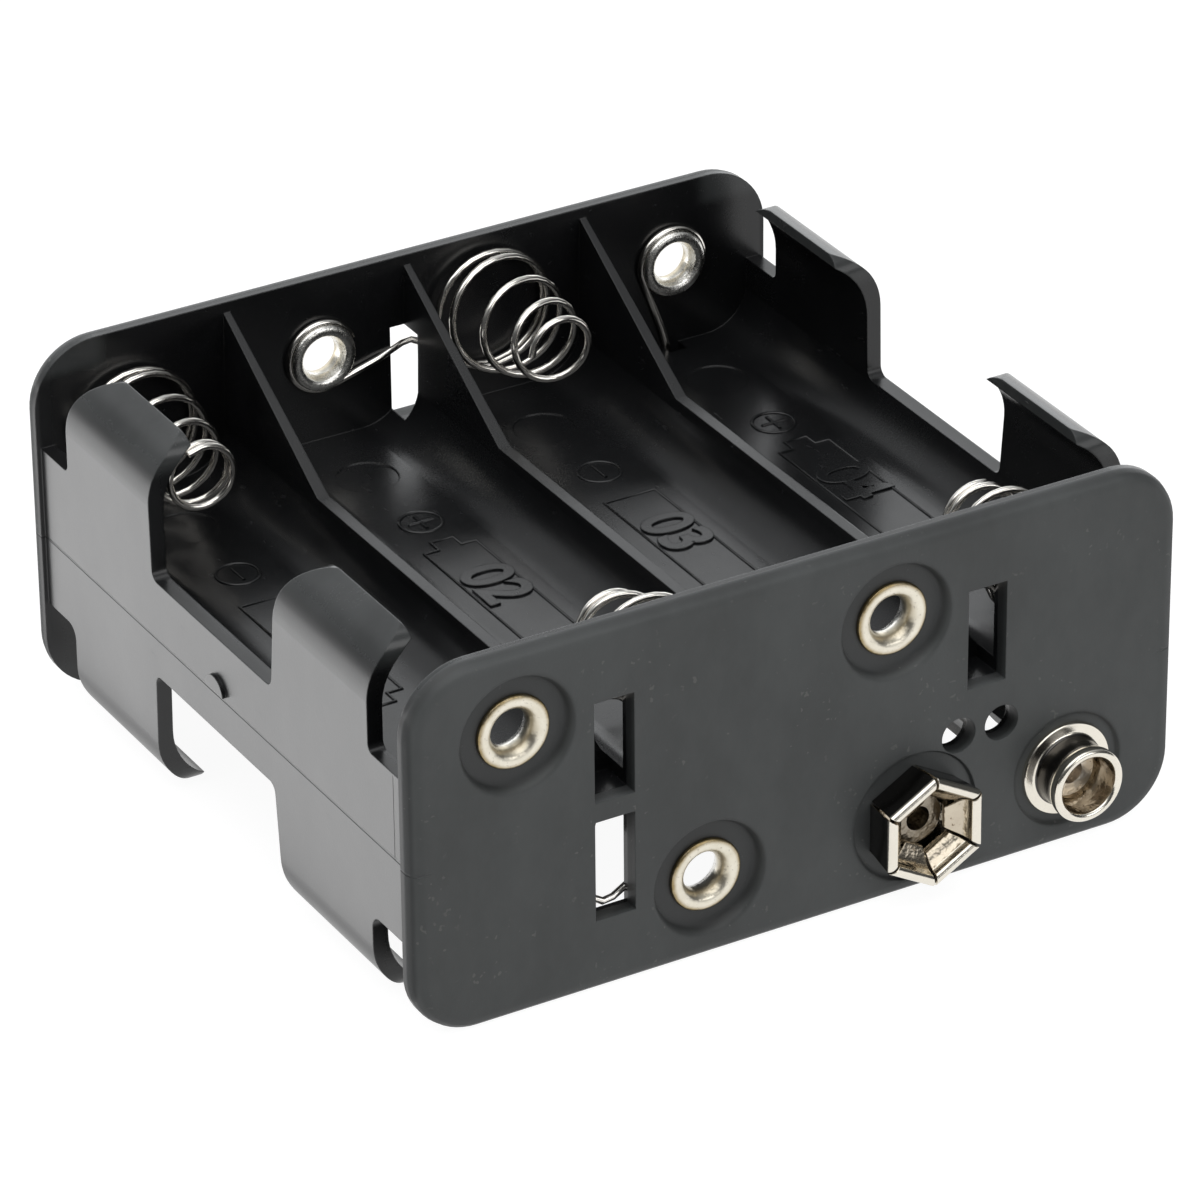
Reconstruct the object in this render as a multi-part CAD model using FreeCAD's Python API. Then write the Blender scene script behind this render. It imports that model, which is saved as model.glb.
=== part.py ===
"""Battery holder for eight cylindrical cells, four in bays on top and four underneath.

Millimetres, Z up. X runs across the four bays, Y runs along the cells, and the snap contacts
stand out of the front plate towards -Y. The origin is the middle of the foot of the whole part.
"""
import FreeCAD, Part
import math
import os

os.makedirs("parts", exist_ok=True)

# The moulding's plates
plate_height = 28.5
plate_wall = 1.6
plate_corner = 5.0
plate_edge_round = 0.9
plate_edge_bands = 3
holder_length = 57.5

# Bays, counted from the middle of the floor that parts the upper cells from the lower ones
bay_pitch = 15.0
bays_across = 4
side_margin = 0.8
contact_rise = 7.95
floor_wall = 1.8
bay_round = 3.6
bay_round_rise = 2.9

# Ribs between the bays: low along most of the cell, high beside its far end
rib_low_rise = 4.7
rib_high_rise = 13.4
rib_foot_half = 0.55
rib_top_half = 0.28
rib_slope_length = 14.3

# Side walls and the fingers that curl in over the outer cells
wall_inset = 0.35
wall_thickness = 1.2
wall_bend_rise = 9.6
finger_bend = 4.6
finger_tip_reach = 3.6
finger_tip_thickness = 0.75
finger_inner_rise = 9.0
front_slot_gap = 4.9
front_slot_rise = 5.9
rear_slot_gap = 4.3
rear_slot_rise = 6.4
lower_front_slot_rise = 7.0
slot_round = 0.6
lower_slot_round = 1.1
notch_front = 20.5
notch_length = 18.0
notch_rise = 3.9
notch_flare = 1.1
notch_round = 0.8
finger_rear_round = 3.4
finger_front_round = 1.7

# Slots in the plates, cut back into the ribs so that a contact wire can pass
slot_width = 3.15
slot_foot_rise = 0.75
slot_head_rise = 8.6
rib_cut_back = 2.1

# Gate witness on the left wall, on the parting line
gate_rear = 30.2
gate_length = 2.7
gate_height = 1.2
gate_drop = 0.4
gate_proud = 0.3

# Ejector pin marks on the upper bay floors
ejector_radius = 2.35
ejector_depth = 0.1
ejector_from_back = 8.6

# Tubular eyelets, the positive contacts
barrel_radius = 2.1
bore_radius = 1.65
eyelet_flange_radius = 2.85
eyelet_flange_thickness = 0.36
eyelet_clinch_radius = 2.9
eyelet_clinch_thickness = 0.34
eyelet_ease = 0.42
eyelet_sides = 24
recess_radius = 4.1
recess_depth = 0.75
recess_draft = 0.5
hole_clearance = 0.05

# Contact springs and the wire links wound in one piece with them
wire_diameter = 0.55
wire_clearance = 0.03
coil_base_radius = 4.65
coil_tip_radius = 2.5
coil_lay = 0.66
coil_base_turns = 1.1
coil_open_turns = 2.9
coil_tip_turns = 1.2
spring_reach = 11.4
spring_lean = -0.4
side_start_angle = -118
upright_start_angle = -75
rivet_start_angle = -150
link_loop_radius = 2.7
front_crest_rise = 8.2
back_crest_rise = 7.2
link_crest_sink = 0.25
link_leave_angle = -70
loop_steps = 12
coil_steps = 9
wire_sides = 4

# Snap contacts on the front plate
snap_pitch = 12.7
socket_offset = 1.75
snap_drop = 8.15
stud_reach = 3.0
stud_radius = 2.86
stud_land = 0.5
stud_neck_radius = 2.65
stud_bore_radius = 2.2
stud_base_radius = 3.6
stud_base_thickness = 0.35
stud_recess_radius = 4.3
socket_recess_radius = 4.9
snap_recess_depth = 0.3
socket_reach = 2.9
socket_flat_half = 3.55
socket_flare = 0.3
socket_sheet = 0.3
socket_roll = 0.42
socket_slit = 0.16
socket_base_radius = 3.5
leaf_hook_depth = 1.7
leaf_hook_reach = 0.75
rivet_barrel_radius = 1.3
rivet_bore_radius = 0.95
rivet_clinch_radius = 1.9
rivet_head_radius = 2.3
rivet_sides = 20
rivet_sheet = 0.35

# Lead holes beside the snap contacts
lead_hole_radius = 1.38
lead_hole_offset = -0.45
lead_hole_pitch = 3.55
lead_hole_drop = 2.7

# Floor gaps behind the outer bays, where a wire goes from the upper side to the lower one
floor_gap_width = 1.5
floor_gap_depth = 1.3

# Worked out from the sizes above
plate_width = bays_across * bay_pitch + 2 * side_margin
front_face = -(holder_length + stud_reach) / 2 + stud_reach
back_face = front_face + holder_length
front_inner = front_face + plate_wall
back_inner = back_face - plate_wall
middle = plate_height / 2
wall_outer = plate_width / 2 - wall_inset
wall_inner = wall_outer - wall_thickness
floor_half = floor_wall / 2
wire_radius = wire_diameter / 2
bay_centres = [bay_pitch * (i - (bays_across - 1) / 2) for i in range(bays_across)]
rib_centres = [bay_pitch * (i - (bays_across - 2) / 2) for i in range(bays_across - 1)]
socket_x = bay_centres[2] + socket_offset
stud_x = socket_x + snap_pitch
lead_hole_x = rib_centres[-1] + lead_hole_offset


def point(x, y, z):
    return FreeCAD.Vector(x, y, z)


def line(a, b):
    return Part.LineSegment(a, b).toShape()


def arc(a, through, b):
    return Part.Arc(a, through, b).toShape()


def prism(edges, direction):
    return Part.Face(Part.Wire(edges)).extrude(direction)


def rounded_prism(corners, direction):
    """Prism over a polygon whose corners are (point, radius of the round)."""
    count = len(corners)
    ends = []
    for i in range(count):
        here, radius = corners[i]
        before = (corners[i - 1][0] - here).normalize()
        after = (corners[(i + 1) % count][0] - here).normalize()
        half = before.getAngle(after) / 2
        cut = radius / math.tan(half)
        centre = here + (before + after).normalize() * (radius / math.sin(half))
        ends.append((here + before * cut, here + (centre - here) * (1 - math.sin(half)),
                     here + after * cut))
    edges = []
    for i in range(count):
        start, through, end = ends[i]
        if corners[i][1] > 0:
            edges.append(arc(start, through, end))
        edges.append(line(end, ends[(i + 1) % count][0]))
    return prism(edges, direction)


def cylinder(radius, length, base, direction):
    return Part.makeCylinder(radius, length, base, direction)


def rib_half(rise):
    """Half the thickness of a rib at a height above the middle of the floor."""
    share = (rise - floor_half) / (rib_high_rise - floor_half)
    return rib_foot_half + (rib_top_half - rib_foot_half) * share


def plate_outline(inset, y):
    """A plate's rounded rectangle at one depth, set in from its full size."""
    w = plate_width / 2 - inset
    low = inset
    high = plate_height - inset
    r = plate_corner - inset
    right = w - r
    base = low + r
    top = high - r
    k = r * math.sqrt(0.5)

    def at(x, z):
        return point(x, y, z)

    return Part.Wire([line(at(-right, low), at(right, low)),
                      arc(at(right, low), at(right + k, base - k), at(w, base)),
                      line(at(w, base), at(w, top)),
                      arc(at(w, top), at(right + k, top + k), at(right, high)),
                      line(at(right, high), at(-right, high)),
                      arc(at(-right, high), at(-right - k, top + k), at(-w, top)),
                      line(at(-w, top), at(-w, base)),
                      arc(at(-w, base), at(-right - k, base - k), at(-right, low))])


def plate(face_y, inward):
    """One end plate, a rounded rectangle with its outer edge rounded over in narrow bands."""
    outlines = []
    for i in range(plate_edge_bands + 1):
        turn = math.pi / 2 * i / plate_edge_bands
        inset = plate_edge_round * (1 - math.sin(turn))
        depth = plate_edge_round * (1 - math.cos(turn))
        outlines.append(plate_outline(inset, face_y + inward * depth))
    outlines.append(plate_outline(0, face_y + inward * plate_wall))
    return Part.makeLoft(outlines, True, True)


def bay_side(root_x, away, side):
    """Edges of one rounded side of a bay, from the floor's flat up to a rib or wall face."""
    foot = middle + side * floor_half
    drop = bay_round - bay_round_rise
    run = math.sqrt(bay_round ** 2 - drop ** 2)
    turn = math.asin(run / bay_round) / 2
    centre_x = root_x + away * run
    through = point(centre_x - away * bay_round * math.sin(turn), front_inner,
                    foot + side * bay_round * (1 - math.cos(turn)))
    low = point(centre_x, front_inner, foot)
    high = point(root_x, front_inner, foot + side * bay_round_rise)
    return low, through, high


def floor_outline(side):
    """Upper or lower edge of the floor's cross-section, from the left wall to the right one."""
    rise = floor_half + bay_round_rise
    half = rib_half(rise)
    lefts = [-wall_inner] + [x + half for x in rib_centres]
    rights = [x - half for x in rib_centres] + [wall_inner]
    edges = []
    for left, right in zip(lefts, rights):
        low_l, through_l, high_l = bay_side(left, 1, side)
        low_r, through_r, high_r = bay_side(right, -1, side)
        if edges:
            edges.append(line(last, high_l))
        edges += [arc(high_l, through_l, low_l), line(low_l, low_r), arc(low_r, through_r, high_r)]
        last = high_r
    first = bay_side(lefts[0], 1, side)[2]
    return edges, first, last


def floor():
    upper, upper_left, upper_right = floor_outline(1)
    lower, lower_left, lower_right = floor_outline(-1)
    root = wall_outer - wall_thickness / 2
    sides = []
    for x, high, low in ((root, upper_right, lower_right), (-root, upper_left, lower_left)):
        sides += [line(high, point(x, front_inner, high.z)),
                  line(point(x, front_inner, high.z), point(x, front_inner, low.z)),
                  line(point(x, front_inner, low.z), low)]
    edges = Part.__sortEdges__(upper + lower + sides)
    return prism(edges, point(0, back_inner - front_inner, 0))


def wall(side):
    """One side wall with both fingers' curls, all along the holder."""
    tip = wall_outer - finger_tip_reach
    bend_x = wall_outer - finger_bend
    tip_rise = finger_top()
    lean = math.atan2(tip_rise - wall_bend_rise, tip - bend_x)
    inner_tip_x = tip - finger_tip_thickness * math.cos(lean)
    inner_tip_rise = tip_rise - finger_tip_thickness * math.sin(lean)
    inner_run = wall_inner - inner_tip_x
    inner_climb = inner_tip_rise - finger_inner_rise
    inner_bend = (inner_run ** 2 + inner_climb ** 2) / (2 * inner_run)
    inner_turn = math.asin(inner_climb / inner_bend) / 2

    def at(x, rise):
        return point(side * x, front_inner, middle + rise)

    edges = []
    for up in (1, -1):
        edges += [line(at(wall_outer, 0), at(wall_outer, up * wall_bend_rise)),
                  arc(at(wall_outer, up * wall_bend_rise),
                      at(bend_x + finger_bend * math.cos(lean / 2),
                         up * (wall_bend_rise + finger_bend * math.sin(lean / 2))),
                      at(tip, up * tip_rise)),
                  line(at(tip, up * tip_rise), at(inner_tip_x, up * inner_tip_rise)),
                  arc(at(inner_tip_x, up * inner_tip_rise),
                      at(wall_inner - inner_bend * (1 - math.cos(inner_turn)),
                         up * (finger_inner_rise + inner_bend * math.sin(inner_turn))),
                      at(wall_inner, up * finger_inner_rise)),
                  line(at(wall_inner, up * finger_inner_rise), at(wall_inner, 0))]
    return prism(Part.__sortEdges__(edges), point(0, back_inner - front_inner, 0))


def notch_edge(rise, rear):
    """How far behind the front face a thumb notch's flared edge is at a height above the middle."""
    share = (rise - notch_rise) / (middle + 1 - notch_rise)
    if rear:
        return notch_front + notch_length + notch_flare / 4 * share
    return notch_front - notch_flare * share


def wall_outline():
    """The walls' side view: fingers, thumb notches and the slots beside both plates."""
    top = middle + 1
    notch_rear = notch_front + notch_length
    corners = []
    for up, front_rise, round_size in ((1, front_slot_rise, slot_round),
                                       (-1, lower_front_slot_rise, lower_slot_round)):
        half = [(plate_wall, front_rise, 0),
                (plate_wall + front_slot_gap, front_rise, round_size),
                (plate_wall + front_slot_gap, top, 0),
                (notch_edge(top, False), top, 0), (notch_front, notch_rise, notch_round),
                (notch_rear, notch_rise, notch_round), (notch_edge(top, True), top, 0),
                (holder_length - plate_wall - rear_slot_gap, top, 0),
                (holder_length - plate_wall - rear_slot_gap, rear_slot_rise, round_size),
                (holder_length - plate_wall, rear_slot_rise, 0)]
        side = [(y, up * rise, r) for y, rise, r in half]
        corners += side if up > 0 else reversed(side)
    listed = [(point(-plate_width, front_face + y, middle + rise), r) for y, rise, r in corners]
    return rounded_prism(listed, point(2 * plate_width, 0, 0))


def finger_top():
    """Height of the fingers' tips above the middle."""
    return wall_bend_rise + math.sqrt(finger_bend ** 2 - (finger_bend - finger_tip_reach) ** 2)


def finger_corner_cut(edge_y, into, radius, up):
    """What is taken off one top corner of the fingers, over both walls at once."""
    rise = finger_top()
    outside = -into

    def at(y, height):
        return point(-plate_width, y, middle + up * height)

    corner = at(edge_y, rise)
    start = at(edge_y, rise - radius)
    end = at(edge_y + into * radius, rise)
    through = at(edge_y + into * radius * (1 - math.sqrt(0.5)), rise - radius * (1 - math.sqrt(0.5)))
    far = [at(edge_y + into * radius, rise + 2), at(edge_y + outside, rise + 2),
           at(edge_y + outside, rise - radius)]
    edges = [arc(start, through, end), line(end, far[0]), line(far[0], far[1]),
             line(far[1], far[2]), line(far[2], start)]
    return prism(edges, point(2 * plate_width, 0, 0))


def walls():
    both = wall(1).fuse(wall(-1)).common(wall_outline())
    front_finger_front = front_inner + front_slot_gap
    front_finger_rear = front_face + notch_edge(finger_top() - finger_rear_round, False)
    rear_finger_front = front_face + notch_edge(finger_top() - finger_front_round, True)
    rear_finger_rear = back_inner - rear_slot_gap
    for up in (1, -1):
        for edge_y, into, radius in ((front_finger_front, 1, finger_front_round),
                                     (front_finger_rear, -1, finger_rear_round),
                                     (rear_finger_front, 1, finger_front_round),
                                     (rear_finger_rear, -1, finger_rear_round)):
            both = both.cut(finger_corner_cut(edge_y, into, radius, up))
    return both


def rib(x, up):
    """A drafted rib: high at the back plate, sloping down to its low run."""
    foot_z = middle
    foot = rib_half(0)
    top_z = middle + up * rib_high_rise
    top = rib_top_half
    blade = prism([line(point(x - foot, front_inner, foot_z), point(x + foot, front_inner, foot_z)),
                   line(point(x + foot, front_inner, foot_z), point(x + top, front_inner, top_z)),
                   line(point(x + top, front_inner, top_z), point(x - top, front_inner, top_z)),
                   line(point(x - top, front_inner, top_z), point(x - foot, front_inner, foot_z))],
                  point(0, back_inner - front_inner, 0))
    bend = back_inner - rib_slope_length
    side = [point(x - 2, front_inner, middle),
            point(x - 2, front_inner, middle + up * rib_low_rise),
            point(x - 2, bend, middle + up * rib_low_rise),
            point(x - 2, back_inner, middle + up * rib_high_rise),
            point(x - 2, back_inner, middle)]
    edges = [line(side[i], side[(i + 1) % len(side)]) for i in range(len(side))]
    return blade.common(prism(edges, point(4, 0, 0)))


def wire_slot(x, up, face_y, inward):
    """A slot through a plate and on into the end of the rib behind it."""
    depth = plate_wall + rib_cut_back
    start = face_y - inward
    y_low = min(start, start + inward * (depth + 1))
    z_low = min(middle + up * slot_foot_rise, middle + up * slot_head_rise)
    return Part.makeBox(slot_width, depth + 1, slot_head_rise - slot_foot_rise,
                        point(x - slot_width / 2, y_low, z_low))


def round_recess(x, z, face_y, inward, radius, depth):
    """A flat-bottomed round recess with a drafted side."""
    return Part.makeCone(radius + recess_draft * (depth + 1), radius, depth + 1,
                         point(x, face_y - inward, z), point(0, inward, 0))


def floor_gap(x):
    return Part.makeBox(floor_gap_width, floor_gap_depth, 4 * floor_wall,
                        point(x - floor_gap_width / 2, back_inner - floor_gap_depth,
                              middle - 2 * floor_wall))


def ejector_marks():
    y = back_face - ejector_from_back
    z = middle + floor_half - ejector_depth
    return [cylinder(ejector_radius, 1, point(x, y, z), point(0, 0, 1)) for x in bay_centres]


def gate_witness():
    """The trimmed gate on the left wall: a low boss with a round top."""
    rear = front_face + gate_rear
    front = rear - gate_length
    low = middle - gate_drop
    x = -wall_outer - gate_proud
    top = point(x, (front + rear) / 2, low + gate_height)
    edges = [arc(point(x, front, low), top, point(x, rear, low)),
             line(point(x, rear, low), point(x, front, low))]
    return prism(edges, point(gate_proud + wall_thickness / 2, 0, 0))


# Which contact sits in each bay: side (1 upper, -1 lower), bay number from the left, and end
def eyelet_places():
    return [(1, 1, "front"), (1, 3, "front"), (-1, 2, "front"), (1, 2, "back"), (1, 4, "back"),
            (-1, 1, "back"), (-1, 3, "back")]


def slot_places():
    return [(1, rib_centres[0], "front"), (1, rib_centres[-1], "front"),
            (-1, rib_centres[0], "front"), (1, rib_centres[1], "back"),
            (-1, rib_centres[1], "back")]


end_faces = {"front": (front_face, 1), "back": (back_face, -1)}


def bay_axis(up, bay):
    return bay_centres[bay - 1], middle + up * contact_rise


def moulding():
    body = plate(front_face, 1).fuse([plate(back_face, -1), floor(), walls()])
    ribs = [rib(x, up) for x in rib_centres for up in (1, -1)]
    body = body.fuse(ribs + [gate_witness()])
    cuts = []
    for up, x, end in slot_places():
        face_y, inward = end_faces[end]
        cuts.append(wire_slot(x, up, face_y, inward))
    for up, bay, end in eyelet_places():
        face_y, inward = end_faces[end]
        x, z = bay_axis(up, bay)
        hole = cylinder(barrel_radius + hole_clearance, plate_wall + 2,
                        point(x, face_y - inward, z), point(0, inward, 0))
        cuts += [hole, round_recess(x, z, face_y, inward, recess_radius, recess_depth)]
    snap_z = middle - snap_drop
    for x, radius in ((stud_x, stud_recess_radius), (socket_x, socket_recess_radius)):
        cuts.append(round_recess(x, snap_z, front_face, 1, radius, snap_recess_depth))
        cuts.append(cylinder(rivet_barrel_radius + hole_clearance, plate_wall + 2,
                             point(x, front_face - 1, snap_z), point(0, 1, 0)))
    for i in (-0.5, 0.5):
        cuts.append(cylinder(lead_hole_radius, plate_wall + 2,
                             point(lead_hole_x + i * lead_hole_pitch, front_face - 1,
                                   middle - lead_hole_drop), point(0, 1, 0)))
    cuts += [floor_gap(x) for x in (bay_centres[0], bay_centres[-1])]
    cuts += ejector_marks()
    body = body.cut(cuts)
    return body.removeSplitter()


def turned(profile, x, z, face_y, inward):
    """Solid turned about a line along Y. The profile holds (radius, depth inwards from the face)."""
    corners = [point(x + r, face_y + inward * d, z) for r, d in profile]
    edges = [line(corners[i], corners[(i + 1) % len(corners)]) for i in range(len(corners))]
    return Part.Face(Part.Wire(edges)).revolve(point(x, face_y, z), point(0, 1, 0), 360)


def faced_solid(loops):
    """Closed solid from flat faces, given by their corners in order."""
    faces = []
    for loop in loops:
        corners = [p for i, p in enumerate(loop) if p.distanceToPoint(loop[i - 1]) > 1e-6]
        faces.append(Part.Face(Part.makePolygon(corners + [corners[0]])))
    skin = Part.Compound(faces)
    skin.sewShape()
    return Part.Solid(skin.Shells[0])


def turned_sides(profile, x, z, face_y, inward, sides):
    """Like turned, but many-sided, for small pieces that repeat."""
    rings = []
    for i in range(sides):
        angle = 2 * math.pi * i / sides
        rings.append([point(x + r * math.cos(angle), face_y + inward * d, z + r * math.sin(angle))
                      for r, d in profile])
    loops = []
    for i in range(sides):
        here = rings[i]
        there = rings[(i + 1) % sides]
        for k in range(len(profile)):
            m = (k + 1) % len(profile)
            if profile[k][0] > 0 or profile[m][0] > 0:
                loops.append([here[k], here[m], there[m], there[k]])
    return faced_solid(loops)


def eyelet(up, bay, end):
    """A tubular eyelet: its flange lies in the outer recess, its clinch holds the link's loop."""
    face_y, inward = end_faces[end]
    x, z = bay_axis(up, bay)
    seat = recess_depth
    clinch = plate_wall + wire_diameter + 2 * wire_clearance
    outer = seat - eyelet_flange_thickness
    inner = clinch + eyelet_clinch_thickness
    profile = [(bore_radius, outer + eyelet_ease), (bore_radius + eyelet_ease, outer),
               (eyelet_flange_radius, outer), (eyelet_flange_radius, seat),
               (barrel_radius, seat), (barrel_radius, clinch), (eyelet_clinch_radius, clinch),
               (eyelet_clinch_radius, inner), (bore_radius, inner)]
    return turned_sides(profile, x, z, face_y, inward, eyelet_sides)


def snap_stud():
    """The male snap contact: a drawn cup with a rolled rim and a flat base flange."""
    seat = snap_recess_depth
    base = seat - stud_base_thickness
    lip = -stud_reach
    roll = (stud_radius - stud_bore_radius) / 2
    sheet = stud_neck_radius - stud_bore_radius
    profile = [(rivet_barrel_radius + hole_clearance, seat), (stud_base_radius, seat),
               (stud_base_radius, base), (stud_neck_radius, base),
               (stud_neck_radius, lip + 2 * roll + stud_land),
               (stud_radius, lip + roll + stud_land), (stud_radius, lip + roll),
               (stud_radius - roll, lip), (stud_bore_radius, lip + roll / 2),
               (stud_bore_radius, seat - sheet), (rivet_barrel_radius + hole_clearance, seat - sheet)]
    return turned(profile, stud_x, middle - snap_drop, front_face, 1)


def socket_leaf():
    """One leaf of the female contact in the plane of its own flat, standing on -Y."""
    seat = snap_recess_depth
    low = seat - socket_sheet
    flat = socket_flat_half
    rim = flat + socket_flare
    crown = -socket_reach
    roll = socket_roll
    inner = rim - 2 * roll
    hook = inner - leaf_hook_reach
    width = 2 * rim
    corners = [(flat, seat), (flat + 0.05, low - 0.2), (rim, crown + roll),
               (rim - roll * 0.3, crown + roll * 0.3), (rim - roll, crown),
               (inner + roll * 0.3, crown + roll * 0.3), (inner, crown + roll),
               (hook, crown + leaf_hook_depth), (hook + 0.2, crown + leaf_hook_depth + 0.15),
               (inner + socket_sheet * 0.8, crown + roll + 0.35),
               (rim - socket_sheet * 0.9, crown + roll + 0.35),
               (flat - socket_sheet, low), (flat - socket_sheet, seat)]
    pts = [point(r, front_face + d, -width / 2) for r, d in corners]
    edges = [line(pts[i], pts[(i + 1) % len(pts)]) for i in range(len(pts))]
    strip = prism(edges, point(0, 0, width))
    reach = 2 * rim
    half = math.radians(30)
    apex = socket_slit / (2 * math.sin(half))
    wedge = [point(apex, front_face - socket_reach - 1, 0),
             point(apex + reach, front_face - socket_reach - 1, reach * math.tan(half)),
             point(apex + reach, front_face - socket_reach - 1, -reach * math.tan(half))]
    sides = [line(wedge[i], wedge[(i + 1) % 3]) for i in range(3)]
    return strip.common(prism(sides, point(0, socket_reach + seat + 1, 0)))


def snap_socket():
    """The female snap contact: six leaves rolled over at the rim, rising from one base."""
    centre = point(socket_x, 0, middle - snap_drop)
    leaf = socket_leaf()
    seat = front_face + snap_recess_depth
    base = cylinder(socket_base_radius, socket_sheet, point(0, seat - socket_sheet, 0),
                    point(0, 1, 0))
    for i in range(6):
        turned_leaf = leaf.copy()
        turned_leaf.rotate(point(0, 0, 0), point(0, 1, 0), 60 * i)
        base = base.fuse(turned_leaf)
    base = base.cut(cylinder(rivet_barrel_radius + hole_clearance, 2,
                             point(0, seat - 1, 0), point(0, 1, 0)))
    base.translate(centre)
    return base.removeSplitter()


def snap_rivet(x, outer_sheet, under_head):
    """The rivet that holds a snap contact. Its head inside the plate is a contact too."""
    seat = snap_recess_depth - outer_sheet
    clinch = seat - rivet_sheet
    head = plate_wall + under_head
    profile = [(rivet_barrel_radius, head), (rivet_barrel_radius, seat),
               (rivet_clinch_radius, seat), (rivet_clinch_radius, clinch),
               (rivet_bore_radius, clinch), (rivet_bore_radius, head), (0, head),
               (0, head + rivet_sheet), (rivet_head_radius, head + rivet_sheet),
               (rivet_head_radius, head)]
    return turned_sides(profile, x, middle - snap_drop, front_face, 1, rivet_sides)


def wire_solid(path):
    """Wire along a list of points, with mitred many-sided sections."""
    count = len(path)
    steps = [(path[i + 1] - path[i]).normalize() for i in range(count - 1)]
    side = steps[0].cross(point(0, 1, 0))
    if side.Length < 0.1:
        side = steps[0].cross(point(0, 0, 1))
    side.normalize()
    rise = steps[0].cross(side)
    ring = []
    for i in range(wire_sides):
        angle = 2 * math.pi * i / wire_sides
        ring.append(path[0] + side * (wire_radius * math.cos(angle))
                    + rise * (wire_radius * math.sin(angle)))
    rings = [ring]
    for i in range(1, count):
        way = steps[i - 1]
        if i < count - 1:
            normal = way + steps[i]
        else:
            normal = way
        moved = []
        for p in rings[-1]:
            run = (path[i] - p).dot(normal) / way.dot(normal)
            moved.append(p + way * run)
        rings.append(moved)
    loops = [rings[0], rings[-1]]
    for low, high in zip(rings, rings[1:]):
        for i in range(wire_sides):
            j = (i + 1) % wire_sides
            loops.append([low[i], low[j], high[j], high[i]])
    return faced_solid(loops)


def coil_path(axis, seat_y, inward, start_angle, turn, stand):
    """Centre line of a conical spring from its base coil to its end coil."""
    offset, lean, base_turns, tip_turns, reach = stand
    points = []
    total = int(round((base_turns + coil_open_turns + tip_turns) * coil_steps))
    first = wire_radius + wire_clearance
    open_rise = reach - 2 * first - (base_turns + tip_turns) * coil_lay
    for i in range(total + 1):
        done = i / coil_steps
        opened = min(max(done - base_turns, 0), coil_open_turns)
        share = opened / coil_open_turns
        height = first + (done - opened) * coil_lay + share * open_rise
        radius = coil_base_radius + (coil_tip_radius - coil_base_radius) * share
        angle = start_angle + turn * 2 * math.pi * done
        fraction = height / reach
        points.append(point(axis[0] + offset[0] + radius * math.cos(angle) + lean[0] * fraction,
                            seat_y + inward * height,
                            axis[1] + offset[1] + radius * math.sin(angle) + lean[1] * fraction))
    return points


def arc_points(x, z, radius, y, start, end, steps):
    made = []
    for i in range(steps + 1):
        angle = start + (end - start) * i / steps
        made.append(point(x + radius * math.cos(angle), y, z + radius * math.sin(angle)))
    return made


def crossing_link(up, spring_bay, eyelet_bay, end):
    """Link between side-by-side bays: loop round the eyelet, then over the crest in the slot."""
    face_y, inward = end_faces[end]
    lay_y = face_y + inward * (plate_wall + wire_radius + wire_clearance)
    eye_x, z = bay_axis(up, eyelet_bay)
    spring_x = bay_axis(up, spring_bay)[0]
    toward = 1 if spring_x > eye_x else -1
    slot_x = (eye_x + spring_x) / 2
    crest_y = face_y + inward * (plate_wall - link_crest_sink)
    crest_rise = front_crest_rise if end == "front" else back_crest_rise
    leave = math.radians(link_leave_angle)
    loop = []
    for p in arc_points(0, 0, link_loop_radius, 0, leave - 1.5 * math.pi, leave, loop_steps):
        loop.append(point(eye_x + toward * p.x, lay_y, z + up * p.z))
    edge = slot_width / 2 - wire_radius - wire_clearance
    crest = []
    for along, y, drop in ((-edge, lay_y, 0.35), (-edge / 3, crest_y, 0.05),
                           (edge / 3, crest_y, 0.1), (edge, lay_y, 0.5)):
        crest.append(point(slot_x + toward * along, y, middle + up * (crest_rise - drop)))
    return loop + crest, toward


def spring(up, bay, end, link_bay, stand):
    face_y, inward = end_faces[end]
    link, toward = crossing_link(up, bay, link_bay, end)
    start = side_start_angle if toward > 0 else -180 - side_start_angle
    coil = coil_path(bay_axis(up, bay), face_y + inward * plate_wall, inward,
                     math.radians(start) * up, up * toward, stand)
    return wire_solid(link + coil)


def upright_link(up, bay, end):
    """Link between an upper and a lower bay: loop round the eyelet, then through the floor gap."""
    face_y, inward = end_faces[end]
    lay_y = face_y + inward * (plate_wall + wire_radius + wire_clearance)
    x, eye_z = bay_axis(-up, bay)
    loop = []
    leave = math.radians(link_leave_angle)
    for p in arc_points(0, 0, link_loop_radius, 0, leave, leave + 1.48 * math.pi, loop_steps):
        loop.append(point(x + p.x, lay_y, eye_z - up * p.z))
    through = [point(x - floor_gap_width * 0.15, lay_y, middle - up * floor_half),
               point(x - floor_gap_width * 0.1, lay_y, middle + up * floor_half)]
    return loop + through


def upright_spring(up, bay, end, stand):
    face_y, inward = end_faces[end]
    coil = coil_path(bay_axis(up, bay), face_y + inward * plate_wall, inward,
                     math.radians(upright_start_angle) * up, up, stand)
    return wire_solid(upright_link(up, bay, end) + coil)


def snap_spring(stand):
    """The spring held by the female snap's rivet, with its loop inside the base coil."""
    rivet_z = middle - snap_drop
    lay_y = front_inner + wire_radius + wire_clearance
    loop_radius = rivet_barrel_radius + wire_radius + 0.2
    loop = arc_points(socket_x, rivet_z, loop_radius, lay_y, math.radians(-60), math.radians(200),
                      loop_steps)
    coil = coil_path(bay_axis(-1, 3), front_inner, 1, math.radians(rivet_start_angle), 1, stand)
    return wire_solid(loop + coil)


def save(name, shape):
    shape.exportStep("parts/" + name + ".step")
    print("%-26s solids %d  valid %s  volume %9.3f"
          % (name, len(shape.Solids), shape.isValid(), shape.Volume))


side_names = {1: "upper", -1: "lower"}


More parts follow.
